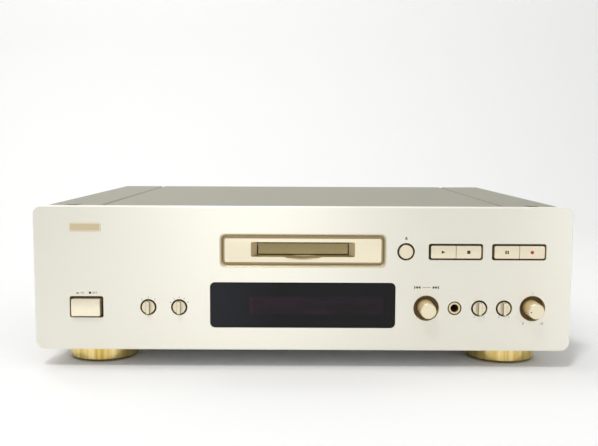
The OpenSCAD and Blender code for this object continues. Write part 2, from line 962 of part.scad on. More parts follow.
module jog_shaft() {
    color([0.75, 0.75, 0.76])
        rod_y([jog_x, y_face - knob_proud + 3, lower_z], jog_shaft_r,
              shaft_end - (y_face - knob_proud + 3) - plunger_end_t);
}

module jog_plunger() {
    front = y_frame + 1;
    outer = jog_shaft_r + plunger_t;
    color([0.85, 0.85, 0.82])
        difference() {
            rod_y([jog_x, front, lower_z], outer, shaft_end - front + 0.2);
            rod_y([jog_x, front - 1, lower_z], jog_shaft_r + run_gap,
                  shaft_end - front - plunger_end_t + 1.2);
        }
}

module jog_encoder() {
    body = 15;
    bore_r = jog_shaft_r + plunger_t + run_gap;
    color([0.30, 0.31, 0.33])
        difference() {
            union() {
                at_front(jog_x, lower_z)
                    prism_y(y_frame_back + 1, y_board - y_frame_back - 1)
                        square(body, center = true);
                rod_y([jog_x, y_frame + 0.5, lower_z], jog_bush_r(), frame_t + 1);
            }
            rod_y([jog_x, y_frame - 1, lower_z], bore_r,
                  shaft_end - y_frame + 1.2 + jog_travel + slide_gap);
        }
}

// A disc with a straight grip across it, on its own shaft
module small_knob(angle) {
    disc_r = small_knob_d / 2;
    dot_r = 0.55;
    color([0.88, 0.81, 0.66])
        rotate([0, angle, 0])
            difference() {
                union() {
                    rod_y([0, y_face - 0.3, 0], disc_r, small_back + 0.3);
                    intersection() {
                        rod_y([0, y_face - grip_proud, 0], disc_r - 0.2, grip_proud);
                        crowned_slab(grip_w, small_knob_d, 0.6, y_face - grip_proud,
                                     grip_proud + 1, 0.6);
                    }
                    rod_y([0, y_face + small_back - 0.5, 0], shaft_r,
                          shaft_end - y_face - small_back + 0.5);
                }
                rod_y([0, y_face - grip_proud - 1, disc_r - 1.9], dot_r, 1.5);
            }
}

module timer_knob() {
    at_front(timer_x, lower_z)
        small_knob(0);
}

module input_select_knob() {
    at_front(input_x, lower_z)
        small_knob(0);
}

module phones_level_knob() {
    at_front(phones_level_x, lower_z)
        small_knob(0);
}

module balance_knob() {
    at_front(balance_x, lower_z)
        small_knob(0);
}

module input_level_knob() {
    dot_r = 0.6;
    color([0.88, 0.83, 0.70])
        at_front(level_x, lower_z)
            rotate([0, level_angle, 0])
                difference() {
                    union() {
                        long_knob();
                        rod_y([0, y_face + knob_back - 1, 0], shaft_r,
                              shaft_end - y_face - knob_back + 1);
                    }
                    rod_y([0, y_face - knob_proud - 1, knob_d / 2 - 2], dot_r, 1.4);
                }
}

// Potentiometers and rotary switches, one behind each turning knob but the jog
module rotary_controls() {
    color([0.32, 0.36, 0.34])
        for (x = concat(small_at, [level_x]))
            at_front(x, lower_z)
                difference() {
                    union() {
                        prism_y(y_board - control_l, control_l)
                            square([control_w, control_h], center = true);
                        rod_y([0, y_frame + 0.5, 0], bush_r, frame_t + 2);
                    }
                    rod_y([0, y_frame - 1, 0], shaft_r + run_gap, shaft_end - y_frame + 1.5);
                }
}

module phones_jack() {
    color([0.80, 0.68, 0.42])
        at_front(phones_x, lower_z)
            difference() {
                union() {
                    rod_y([0, y_face + phones_sink, 0], phones_ferrule_d / 2,
                          phones_body_y - y_face - phones_sink + 1);
                    prism_y(phones_body_y, phones_body_l)
                        square([phones_body_w, phones_body_h], center = true);
                }
                rod_y([0, y_face + phones_sink - 1, 0], phones_bore_d / 2, phones_bore_l + 1);
            }
}

// ---------------------------------------------------------------- cabinet

module at_both_sides() {
    children();
    mirror([1, 0, 0])
        children();
}

// Pressed tray that carries everything
module chassis_tray() {
    color([0.70, 0.71, 0.72])
        difference() {
            union() {
                block(-tray_w / 2, y_frame, case_z, tray_w, tray_y1 - y_frame, sheet_t);
                at_both_sides()
                    block(tray_w / 2 - sheet_t, y_frame, case_z,
                          sheet_t, tray_y1 - y_frame, tray_flange_h);
                block(-tray_w / 2, tray_y1 - sheet_t, case_z, tray_w, sheet_t, tray_lip_h);
                for (p = standoff_at)
                    translate([p[0], p[1], tray_top - 0.1])
                        cylinder(r = standoff_r, h = standoff_h + 0.1);
            }
            for (p = standoff_at)
                translate([p[0], p[1], tray_top])
                    cylinder(r = screw_r, h = standoff_h + 1);
            for (p = foot_at)
                translate([p[0], p[1], case_z - 1])
                    cylinder(r = foot_screw_r + run_gap, h = sheet_t + 2);
            for (y = side_screw_y)
                rod_x([-body_w, y, side_screw_z], case_screw_r + run_gap, 2 * body_w);
            for (x = rear_screw_x)
                rod_y([x, tray_y1 - sheet_t - 1, rear_low_z], case_screw_r + run_gap, sheet_t + 2);
        }
}

module rear_panel() {
    top = case_top - sheet_t - lip_gap;
    corner = cover_bend_r - cover_t;
    hole_y = y_rear - sheet_t - 1;
    hole_d = sheet_t + 2;
    color([0.16, 0.16, 0.17])
        difference() {
            prism_y(y_rear - sheet_t, sheet_t)
                polygon([
                    [-tray_w / 2, case_z], [tray_w / 2, case_z],
                    [tray_w / 2, top - corner], [tray_w / 2 - corner, top],
                    [corner - tray_w / 2, top], [-tray_w / 2, top - corner]
                ]);
            for (p = phono_at)
                rod_y([p[0], hole_y, p[1]], phono_collar_r + slide_gap, hole_d);
            for (x = optical_x)
                at_front(x, optical_z)
                    prism_y(hole_y, hole_d)
                        square([optical_w + 2 * fit_gap, optical_h + 2 * fit_gap], center = true);
            at_front(inlet_x, inlet_z)
                prism_y(hole_y, hole_d)
                    square([inlet_w + 2 * fit_gap, inlet_h + 2 * fit_gap], center = true);
            for (x = rear_screw_x, z = [rear_low_z, rear_high_z])
                rod_y([x, hole_y, z], case_screw_r + run_gap, hole_d);
            at_both_sides()
                block(plate_half - seam_web - slide_gap, hole_y, top - seam_fall,
                      seam_web + seam_gap + seam_fall_w + 2 * slide_gap, hole_d, 2 * seam_fall);
        }
}

// Cuts a sheet, whose top is this far down, where it bends to an edge at x
module seam_wedge(x, down) {
    over = 2;
    high = case_top - down;
    polygon([
        [x + over, high - seam_fall * (1 + over / seam_fall_w)], [x - seam_fall_w, high],
        [x - seam_fall_w, high + over], [x + over, high + over]
    ]);
}

module top_plate() {
    lip_y0 = y_frame_back + slide_gap;
    lip_l = y_rear - sheet_t - slide_gap - lip_y0;
    lip_z = case_top - cover_t - seam_fall - lip_gap - sheet_t;
    web_top = case_top - seam_fall - sheet_t / 2;
    color([0.62, 0.60, 0.54])
        difference() {
            union() {
                prism_y(y_frame, y_rear - y_frame)
                    difference() {
                        translate([-plate_half, case_top - sheet_t - seam_fall])
                            square([2 * plate_half, sheet_t + seam_fall]);
                        translate([seam_web - plate_half, 0])
                            square([2 * (plate_half - seam_web), case_top - sheet_t]);
                        at_both_sides()
                            seam_wedge(plate_half, 0);
                    }
                at_both_sides() {
                    block(plate_half - seam_web, lip_y0, lip_z, lip_w, lip_l, sheet_t);
                    block(plate_half - seam_web, lip_y0, lip_z, seam_web, lip_l, web_top - lip_z);
                }
                block(4 - plate_half, rear_flange_y, case_top - rear_flange_h,
                      2 * plate_half - 8, sheet_t, rear_flange_h);
            }
            for (x = rear_screw_x)
                rod_y([x, rear_flange_y - 1, rear_high_z], case_screw_r + run_gap, sheet_t + 2);
        }
}

// Section through a side cover, grown inwards by inset
module cover_section(inset) {
    side = body_w / 2 - inset;
    top = case_top - inset;
    r = cover_bend_r - inset;
    left = seam_edge - inset;
    difference() {
        union() {
            translate([left, case_z - inset])
                square([side - r - left, top - case_z + inset]);
            translate([left, case_z - inset])
                square([side - left, top - r - case_z + inset]);
            translate([side - r, top - r])
                circle(r = r);
        }
        mirror([1, 0, 0])
            seam_wedge(-seam_edge, inset);
    }
}

module side_cover() {
    dish_z = case_top - dish_depth;
    color([0.62, 0.60, 0.54])
        difference() {
            union() {
                prism_y(y_frame, y_rear - y_frame)
                    difference() {
                        cover_section(0);
                        cover_section(cover_t);
                    }
                translate([dish_x, dish_y, dish_z - cover_t])
                    cylinder(r = dish_r, h = dish_depth + cover_t - 0.1);
            }
            translate([dish_x, dish_y, dish_z])
                cylinder(r1 = dish_r - dish_depth - 1, r2 = dish_r - 1, h = dish_depth + 0.01);
            translate([dish_x, dish_y, dish_z - cover_t - 1])
                cylinder(r = case_screw_r + run_gap, h = cover_t + 2);
            for (y = side_screw_y)
                rod_x([body_w / 2 - 3, y, side_screw_z], case_screw_r + run_gap, 6);
        }
}

module side_cover_right() {
    side_cover();
}

module side_cover_left() {
    mirror([1, 0, 0])
        side_cover();
}

module case_screw() {
    screw(case_screw_r, case_head_r, case_head_h, case_screw_l);
}

module case_screws() {
    color([0.20, 0.20, 0.20])
        union() {
            at_both_sides() {
                translate([dish_x, dish_y, case_top - dish_depth])
                    case_screw();
                for (y = side_screw_y)
                    translate([body_w / 2, y, side_screw_z])
                        rotate([0, 90, 0])
                            case_screw();
            }
            for (x = rear_screw_x, z = [rear_low_z, rear_high_z])
                translate([x, y_rear, z])
                    rotate([-90, 0, 0])
                        case_screw();
        }
}

// Turned feet, each with a recess for its pad
module feet() {
    foot_r = foot_d / 2;
    neck = 0.6;
    neck_h = 3;
    pad_r = pad_d / 2 + fit_gap;
    color([0.80, 0.62, 0.28])
        for (p = foot_at)
            translate([p[0], p[1], 0])
                difference() {
                    rotate_extrude()
                        polygon([
                            [0, pad_show + pad_in], [pad_r, pad_show + pad_in],
                            [pad_r, pad_show], [foot_r - 1, pad_show],
                            [foot_r, pad_show + 1], [foot_r, case_z - neck_h - neck],
                            [foot_r - neck, case_z - neck_h], [foot_r - neck, case_z],
                            [0, case_z]
                        ]);
                    translate([0, 0, case_z - foot_screw_l])
                        cylinder(r = foot_screw_r + run_gap, h = foot_screw_l + 1);
                }
}

module foot_pads() {
    color([0.08, 0.08, 0.08])
        for (p = foot_at)
            translate([p[0], p[1], 0])
                cylinder(r = pad_d / 2, h = pad_show + pad_in);
}

// Screws inside the cabinet: front board, boards on their standoffs, and feet
module inner_screws() {
    color([0.72, 0.72, 0.70])
        union() {
            for (p = front_boss_at)
                translate([p[0], y_board_back, panel_z + p[1]])
                    rotate([-90, 0, 0])
                        screw(screw_r - run_gap, screw_head_r, screw_head_h, board_t + 7);
            for (p = standoff_at)
                translate([p[0], p[1], board_z + board_t])
                    screw(screw_r - run_gap, screw_head_r, screw_head_h, board_t + 5);
            for (p = foot_at)
                translate([p[0], p[1], tray_top])
                    screw(foot_screw_r, foot_head_r, case_head_h, foot_screw_l);
        }
}

// ---------------------------------------------------------------- drive

module mech_bracket() {
    w = bracket_x1 - bracket_x0;
    d = bracket_y1 - bracket_y0;
    color([0.66, 0.67, 0.68])
        union() {
            difference() {
                block(bracket_x0, bracket_y0, bracket_z, w, d, bracket_t);
                block(bracket_x0 + bracket_rail, bracket_y0 + bracket_rail, bracket_z - 1,
                      w - 2 * bracket_rail, d - 2 * bracket_rail, bracket_t + 2);
            }
            for (x = [bracket_x0, bracket_x1 - bracket_foot])
                for (y = [bracket_y0, bracket_y1 - bracket_foot])
                    block(x, y, tray_top, bracket_foot, bracket_foot, bracket_z - tray_top + 0.1);
        }
}

module mech_dampers() {
    color([0.10, 0.10, 0.10])
        for (x = [bracket_x0 + damper_dx, bracket_x1 - damper_dx])
            for (y = [bracket_y0 + damper_dy, bracket_y1 - damper_dy])
                translate([x, y, bracket_z + bracket_t])
                    cylinder(r = damper_r, h = base_z - bracket_z - bracket_t);
}

// Upright slots that let the holder's pins move only up and down
module pin_slots(x, y) {
    r = pin_r + run_gap;
    for (z = [slot_z - holder_drop, slot_z])
        rod_x([x - 1, y, z], r, wall_t + 2);
    block(x - 1, y - r, slot_z - holder_drop, wall_t + 2, 2 * r, holder_drop);
}

module bearing_block(x, y, w, r) {
    difference() {
        block(x, y - support_w / 2, base_top - 0.1, w, support_w, rod_z - base_top + support_w / 2);
        rod_x([x - 1, y, rod_z], r, w + 2);
    }
}

module mech_base() {
    wall_h = slot_z + 4 - base_top;
    left_y0 = pin_y[0] - 6;
    left_y1 = pin_y[1] + 6;
    arm_z = sled_z + sled_h + 1;
    color([0.72, 0.73, 0.74])
        difference() {
            union() {
                block(base_x0, base_y0, base_z, base_x1 - base_x0, base_y1 - base_y0, base_t);
                block(-wall_x - wall_t, left_y0, base_top - 0.1,
                      wall_t, left_y1 - left_y0, wall_h + 0.1);
                block(wall_x, base_y0, base_top - 0.1, wall_t, 6, wall_h + 0.1);
                block(wall_x, base_y0, arm_z, wall_t, pin_y[0] + 4 - base_y0, slot_z + 4 - arm_z);
                block(wall_x, pin_y[1] - 4, base_top - 0.1, wall_t, 8, wall_h + 0.1);
                for (y = [disc_y - rod_dy, disc_y + rod_dy]) {
                    bearing_block(rod_x0 - 1, y, 4, rod_d / 2 + run_gap);
                    bearing_block(rod_x1 - 2, y, 4, rod_d / 2 + run_gap);
                }
                bearing_block(screw_x1 - 2, screw_y, 4, lead_r + run_gap);
                block(feed_x - feed_l, screw_y - 3, base_top - 0.1,
                      feed_l, 6, rod_z - feed_r - base_top + 0.1);
            }
            for (y = pin_y) {
                pin_slots(-wall_x - wall_t, y);
                pin_slots(wall_x, y);
            }
        }
}

// Folded sheet carrier, open at the front and below, with a window for the head
module cartridge_holder() {
    half = holder_out_w / 2;
    bottom = slot_z - holder_out_h / 2;
    color([0.76, 0.76, 0.77])
        difference() {
            union() {
                block(-half, mech_y, slot_z + holder_in_h / 2, holder_out_w, holder_l, holder_t);
                at_both_sides() {
                    block(half - holder_t, mech_y, bottom, holder_t, holder_l, holder_out_h);
                    block(half - holder_t - holder_lip, mech_y, bottom,
                          holder_lip + holder_t, holder_l, holder_t);
                }
                block(-half, mech_y + holder_l - holder_t, bottom,
                      holder_out_w, holder_t, holder_out_h);
                for (y = pin_y) {
                    rod_x([-half - pin_l, y, slot_z], pin_r, pin_l + 0.2);
                    rod_x([half - 0.2, y, slot_z], pin_r, wall_x + wall_t + 0.8 - half + 0.2);
                }
            }
            block(window_x0, disc_y - window_half, slot_z, window_x1 - window_x0,
                  2 * window_half, holder_out_h);
        }
}

module cam_slot(y) {
    r = pin_r + run_gap;
    length = sqrt(slider_travel * slider_travel + holder_drop * holder_drop);
    x = -slider_x - slider_t - 1;
    depth = slider_t + 2;
    rod_x([x, y, slot_z], r, depth);
    rod_x([x, y - slider_travel, slot_z - holder_drop], r, depth);
    translate([x, y, slot_z])
        rotate([cam_angle, 0, 0])
            translate([0, -length, -r])
                cube([depth, length, 2 * r]);
}

// Half the thickness of a rack tooth, and of a gear tooth, at the pitch line
function half_tooth() = PI * gear_module / 4 - tooth_slack / 2;

module cam_slider() {
    pitch = PI * gear_module;
    root = rack_x - slider_x - slider_t;
    teeth_before = ceil((slider_travel + 6) / pitch);
    flank = tan(pressure_angle);
    half = half_tooth();
    color([0.20, 0.20, 0.22])
        difference() {
            union() {
                block(-slider_x - slider_t, base_y0, base_top + slide_gap,
                      slider_t, slider_l, slot_z + 4 - base_top - slide_gap);
                for (i = [-teeth_before : 2])
                    translate([-rack_x, gear_y + (i + 0.5) * pitch, gear_z - 0.2])
                        linear_extrude(gear_t + 0.4)
                            polygon([
                                [-gear_module, half - gear_module * flank],
                                [root + 0.1, half + root * flank],
                                [root + 0.1, -half - root * flank],
                                [-gear_module, gear_module * flank - half]
                            ]);
            }
            for (y = pin_y)
                cam_slot(y);
        }
}

// Angle swept by an involute from its base circle out to radius r
function inv_at(r) = tan(acos(base_r / r)) * 180 / PI - acos(base_r / r);
// Half the angle a tooth covers at radius r
function tooth_half(r) = half_tooth() / gear_r * 180 / PI + inv_at(gear_r) - inv_at(r);
function polar(r, a) = [r * cos(a), r * sin(a)];

module loading_gear() {
    tip_r = gear_r + gear_module;
    root_r = gear_r - 1.25 * gear_module;
    steps = 5;
    radii = [for (k = [0 : steps]) base_r + 0.01 + (tip_r - base_r - 0.01) * k / steps];
    color([0.90, 0.88, 0.80])
        translate([gear_x, gear_y, 0])
            union() {
                translate([0, 0, gear_z])
                    linear_extrude(gear_t)
                        union() {
                            circle(r = root_r);
                            for (i = [0 : gear_teeth - 1])
                                rotate(i * 360 / gear_teeth)
                                    polygon(concat(
                                        [polar(root_r - 0.3, -tooth_half(radii[0]))],
                                        [for (k = [0 : steps])
                                            polar(radii[k], -tooth_half(radii[k]))],
                                        [for (k = [steps : -1 : 0])
                                            polar(radii[k], tooth_half(radii[k]))],
                                        [polar(root_r - 0.3, tooth_half(radii[0]))]
                                    ));
                        }
                translate([0, 0, gear_z - gear_shaft_l])
                    cylinder(r = gear_shaft_r, h = gear_shaft_l + 0.1);
            }
}

module loading_motor() {
    color([0.55, 0.56, 0.58])
        translate([gear_x, gear_y, base_top])
            difference() {
                cylinder(r = motor_r, h = motor_l);
                translate([0, 0, gear_z - gear_shaft_l - slide_gap - base_top])
                    cylinder(r = gear_shaft_r + run_gap, h = motor_l + 1);
            }
}

module spindle_motor() {
    color([0.50, 0.51, 0.53])
        translate([0, disc_y, base_top])
            difference() {
                cylinder(r = spindle_r, h = spindle_h);
                translate([0, 0, spindle_h - spindle_shaft_l - slide_gap])
                    cylinder(r = spindle_shaft_r + run_gap, h = spindle_shaft_l + 1);
            }
}

module turntable() {
    hub_z = base_top + spindle_h + slide_gap;
    hub_r = 3;
    table_t = 1.5;
    boss_h = 4;
    color([0.30, 0.30, 0.32])
        translate([0, disc_y, 0])
            union() {
                translate([0, 0, base_top + spindle_h - spindle_shaft_l])
                    cylinder(r = spindle_shaft_r, h = spindle_shaft_l + slide_gap + 0.1);
                translate([0, 0, hub_z])
                    cylinder(r = hub_r, h = table_z - hub_z + 0.1);
                translate([0, 0, table_z])
                    cylinder(r = table_r, h = table_t);
                translate([0, 0, table_z])
                    cylinder(r = hub_r, h = boss_h);
            }
}

module guide_rods() {
    color([0.80, 0.81, 0.82])
        for (y = [disc_y - rod_dy, disc_y + rod_dy])
            rod_x([rod_x0 - 1, y, rod_z], rod_d / 2, rod_x1 - rod_x0 + 3);
}

// Optical pickup with its lens, and the post for the overwrite head's arm
module pickup_sled() {
    lens_r = 2.5;
    lens_h = 1.6;
    tab_x = sled_x0 + 2;
    tab_w = 6;
    tab_y0 = screw_y - 2.5;
    sled_y0 = disc_y - sled_d / 2;
    color([0.24, 0.24, 0.26])
        difference() {
            union() {
                block(sled_x0, sled_y0, sled_z, sled_w, sled_d, sled_h);
                block(tab_x, tab_y0, sled_z, tab_w, sled_y0 - tab_y0 + 0.1, sled_h);
                block(post_x, disc_y - post_d / 2, sled_z, post_w, post_d,
                      arm_pivot_z + 2.5 - sled_z);
                translate([lens_x, disc_y, sled_z + sled_h - 0.1])
                    cylinder(r = lens_r, h = lens_h + 0.1);
            }
            for (y = [disc_y - rod_dy, disc_y + rod_dy])
                rod_x([sled_x0 - 1, y, rod_z], rod_d / 2 + run_gap, sled_w + 2);
            rod_x([tab_x - 1, screw_y, rod_z], lead_r + run_gap, tab_w + 2);
            rod_y([arm_pivot_x, disc_y - post_d, arm_pivot_z], arm_pin_r + run_gap, 2 * post_d);
        }
}

module head_arm() {
    cheek_y = post_d / 2 + slide_gap;
    cheek_t = 1.2;
    bar_x = arm_pivot_x - 6;
    half_d = cheek_y + cheek_t;
    head_w = 3;
    head_z = slot_z + holder_out_h / 2 + 0.7;
    color([0.78, 0.78, 0.79])
        union() {
            for (y = [disc_y - half_d, disc_y + cheek_y])
                block(bar_x, y, arm_pivot_z - 1.8, 8, cheek_t, 3.6);
            block(bar_x, disc_y - half_d, arm_pivot_z - 1, 2.5, 2 * half_d, 2);
            block(lens_x - head_w / 2, disc_y - 3, arm_pivot_z - 1,
                  bar_x + 1 - lens_x + head_w / 2, 6, 2);
            block(lens_x - head_w / 2, disc_y - 2.5, head_z, head_w, 5, arm_pivot_z - head_z);
            rod_y([arm_pivot_x, disc_y - half_d, arm_pivot_z], arm_pin_r, 2 * half_d);
        }
}

module lead_screw() {
    color([0.80, 0.81, 0.82])
        rod_x([feed_x - lead_in, screw_y, rod_z], lead_r, screw_x1 + 2 - feed_x + lead_in);
}

module feed_motor() {
    color([0.55, 0.56, 0.58])
        difference() {
            rod_x([feed_x - feed_l, screw_y, rod_z], feed_r, feed_l);
            rod_x([feed_x - lead_in - slide_gap, screw_y, rod_z],
                  lead_r + run_gap, lead_in + slide_gap + 1);
        }
}

// ---------------------------------------------------------------- electronics

module transformer() {
    coil_w = 40;
    coil_h = 36;
    foot_t = 2;
    flange_over = 8;
    flange_d = core_d + 2 * flange_over;
    mid_z = tray_top + foot_t + core_h / 2;
    color([0.45, 0.42, 0.38])
        translate([transformer_x, transformer_y, 0])
            union() {
                block(-core_w / 2, -flange_d / 2, tray_top, core_w, flange_d, foot_t);
                block(-core_w / 2, -core_d / 2, tray_top + foot_t - 0.1,
                      core_w, core_d, core_h + 0.1);
                block(-coil_w / 2, -core_d / 2 - coil_over, mid_z - coil_h / 2,
                      coil_w, core_d + 2 * coil_over, coil_h);
            }
}

module board_plate(x0, y0, x1, y1) {
    difference() {
        block(x0, y0, board_z, x1 - x0, y1 - y0, board_t);
        for (x = [x0 + board_inset, x1 - board_inset], y = [y0 + board_inset, y1 - board_inset])
            translate([x, y, board_z - 1])
                cylinder(r = screw_r + 0.1, h = board_t + 2);
    }
}

module power_board() {
    color([0.66, 0.52, 0.28])
        board_plate(power_x0, power_y0, power_x1, power_y1);
}

module main_board() {
    color([0.16, 0.36, 0.22])
        board_plate(main_x0, main_y0, main_x1, main_y1);
}

// Reservoir capacitors, as [x, y, radius, height] from the power board's corner
module capacitors() {
    cans = [[18, 29, 9, 32], [40, 29, 9, 32], [18, 53, 6.5, 22], [36, 53, 6.5, 22]];
    color([0.10, 0.11, 0.16])
        for (c = cans)
            translate([power_x0 + c[0], power_y0 + c[1], board_z + board_t])
                cylinder(r = c[2], h = c[3]);
}

module heatsink() {
    sink_in_x = 74;
    sink_in_y = 16;
    sink_l = 60;
    sink_h = 34;
    fin_d = 16;
    fin_t = 1.4;
    fins = 9;
    color([0.12, 0.12, 0.12])
        translate([power_x0 + sink_in_x, power_y0 + sink_in_y, board_z + board_t])
            union() {
                cube([3, sink_l, sink_h]);
                for (i = [0 : fins - 1])
                    translate([2.9, i * (sink_l - fin_t) / (fins - 1), 0])
                        cube([fin_d, fin_t, sink_h]);
            }
}

// Chips, as [x, y, width, depth] from the main board's corner
module board_chips() {
    chip_t = 2.4;
    chips = [
        [24, 40, 22, 22], [66, 40, 14, 14], [24, 84, 16, 10], [70, 94, 20, 14],
        [30, 140, 14, 10], [70, 150, 12, 8], [98, 110, 8, 18]
    ];
    color([0.09, 0.09, 0.10])
        for (c = chips)
            block(main_x0 + c[0], main_y0 + c[1], board_z + board_t, c[2], c[3], chip_t);
}

// Phono sockets for the analogue lines and the coaxial digital input
module line_jacks() {
    front = y_rear - sheet_t - lip_gap;
    foot = board_z + board_t;
    color([0.82, 0.70, 0.40])
        difference() {
            union() {
                block(phono_x - phono_body / 2, front - phono_body, foot,
                      phono_pitch + phono_body, phono_body,
                      phono_z + phono_pitch + phono_body / 2 - foot);
                block(coax_x - phono_body / 2, front - phono_body, foot,
                      phono_body, phono_body, phono_z + phono_body / 2 - foot);
                for (p = phono_at)
                    rod_y([p[0], front - 0.1, p[1]], phono_d / 2, y_rear + jack_proud - front + 0.1);
                for (p = phono_at)
                    rod_y([p[0], front - 0.1, p[1]], phono_collar_r,
                          y_rear + phono_collar_h - front + 0.1);
            }
            for (p = phono_at)
                rod_y([p[0], y_rear + jack_proud - phono_pin_l, p[1]], phono_pin_r, phono_pin_l + 1);
        }
}

module optical_ports() {
    color([0.10, 0.10, 0.11])
        for (x = optical_x)
            at_front(x, optical_z)
                difference() {
                    prism_y(y_rear + optical_proud - optical_l, optical_l)
                        square([optical_w, optical_h], center = true);
                    prism_y(y_rear + optical_proud - optical_l + 4, optical_l)
                        square(optical_port, center = true);
                }
}

// Two-pole mains inlet with a figure-eight mouth
module ac_inlet() {
    lip = 2;
    pin_gap = 4.3;
    mouth_l = 14;
    mouth_r = inlet_port_h / 2;
    color([0.07, 0.07, 0.07])
        at_front(inlet_x, inlet_z)
            union() {
                difference() {
                    union() {
                        prism_y(y_rear - inlet_l, inlet_l)
                            square([inlet_w, inlet_h], center = true);
                        prism_y(y_rear, 1.2)
                            square([inlet_w + 2 * lip, inlet_h + 2 * lip], center = true);
                    }
                    prism_y(y_rear + 1.2 - mouth_l, mouth_l + 1)
                        union() {
                            square([inlet_port_w - inlet_port_h, inlet_port_h - 1], center = true);
                            for (x = [-1, 1])
                                translate([x * (inlet_port_w - inlet_port_h) / 2, 0])
                                    circle(r = mouth_r);
                        }
                }
                for (x = [-1, 1])
                    rod_y([x * pin_gap, y_rear - mouth_l, 0], 1.2, mouth_l - 2);
            }
}

// ---------------------------------------------------------------- selection

front_panel();
front_frame();
badge_plate();
slot_bezel();
slot_flap();
display_window();
display_tube();
remote_sensor();
front_board();
inner_screws();
key_switches();
power_button();
power_switch();
eject_button();
play_button();
stop_button();
pause_button();
rec_button();
jog_knob();
jog_shaft();
jog_plunger();
jog_encoder();
timer_knob();
input_select_knob();
phones_level_knob();
balance_knob();
input_level_knob();
rotary_controls();
phones_jack();
chassis_tray();
rear_panel();
top_plate();
side_cover_left();
side_cover_right();
case_screws();
feet();
foot_pads();
mech_bracket();
mech_dampers();
mech_base();
cartridge_holder();
cam_slider();
loading_gear();
loading_motor();
spindle_motor();
turntable();
guide_rods();
pickup_sled();
head_arm();
lead_screw();
feed_motor();
transformer();
power_board();
capacitors();
heatsink();
main_board();
board_chips();
line_jacks();
optical_ports();
ac_inlet();
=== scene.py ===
"""Looks of the small-disc deck: camera, materials, printed marks and studio."""

import json
import math

import bpy
from mathutils import Matrix, Vector


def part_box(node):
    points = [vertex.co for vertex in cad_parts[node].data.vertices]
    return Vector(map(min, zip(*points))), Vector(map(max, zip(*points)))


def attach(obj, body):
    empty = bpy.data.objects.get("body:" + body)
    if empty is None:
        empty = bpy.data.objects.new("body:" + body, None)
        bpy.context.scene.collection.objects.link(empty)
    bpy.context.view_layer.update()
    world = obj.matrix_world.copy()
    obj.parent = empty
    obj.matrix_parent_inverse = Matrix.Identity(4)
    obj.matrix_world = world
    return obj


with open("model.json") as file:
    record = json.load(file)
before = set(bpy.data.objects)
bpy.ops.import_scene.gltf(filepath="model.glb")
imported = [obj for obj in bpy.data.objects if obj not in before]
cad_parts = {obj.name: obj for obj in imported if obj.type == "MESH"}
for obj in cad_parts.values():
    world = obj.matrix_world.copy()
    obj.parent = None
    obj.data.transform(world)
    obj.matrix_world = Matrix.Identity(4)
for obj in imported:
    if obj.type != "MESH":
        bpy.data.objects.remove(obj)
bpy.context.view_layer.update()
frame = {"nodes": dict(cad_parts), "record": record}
NODES = frame["nodes"]

MM = 0.001
PANEL_LOW, PANEL_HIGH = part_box("front_panel")
FACE_Y = PANEL_LOW[1]
BASE_Z = PANEL_LOW[2]
TOP_Z = PANEL_HIGH[2]
REAR_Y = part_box("rear_panel")[1][1]


# ------------------------------------------------------------------ camera

PITCH, YAW, ROLL = 5.5, -0.018, 0.242
LENS, SENSOR_W = 48.7, 36
CAMERA_X, CAMERA_BACK, CAMERA_UP = -3.49 * MM, 645.61 * MM, 49.09 * MM


def make_camera():
    """The photograph's camera, found from the panel's and the covers' edges."""
    pitch, yaw, roll = (math.radians(a) for a in (PITCH, YAW, ROLL))
    right = Vector((math.cos(yaw), math.sin(yaw), 0))
    ahead = Vector((-math.sin(yaw), math.cos(yaw), 0))
    up = Vector((0, 0, 1))
    forward = ahead * math.cos(pitch) - up * math.sin(pitch)
    tilted = up * math.cos(pitch) + ahead * math.sin(pitch)
    side = right * math.cos(roll) + tilted * math.sin(roll)
    top = tilted * math.cos(roll) - right * math.sin(roll)
    data = bpy.data.cameras.new("camera")
    data.sensor_fit = "HORIZONTAL"
    data.sensor_width = SENSOR_W
    data.lens = LENS
    cam = bpy.data.objects.new("camera", data)
    bpy.context.scene.collection.objects.link(cam)
    place = Vector((CAMERA_X, FACE_Y - CAMERA_BACK, TOP_Z + CAMERA_UP))
    turn = Matrix((side, top, -forward)).transposed().to_4x4()
    cam.matrix_world = Matrix.Translation(place) @ turn
    bpy.context.scene.camera = cam


# --------------------------------------------------------------- materials


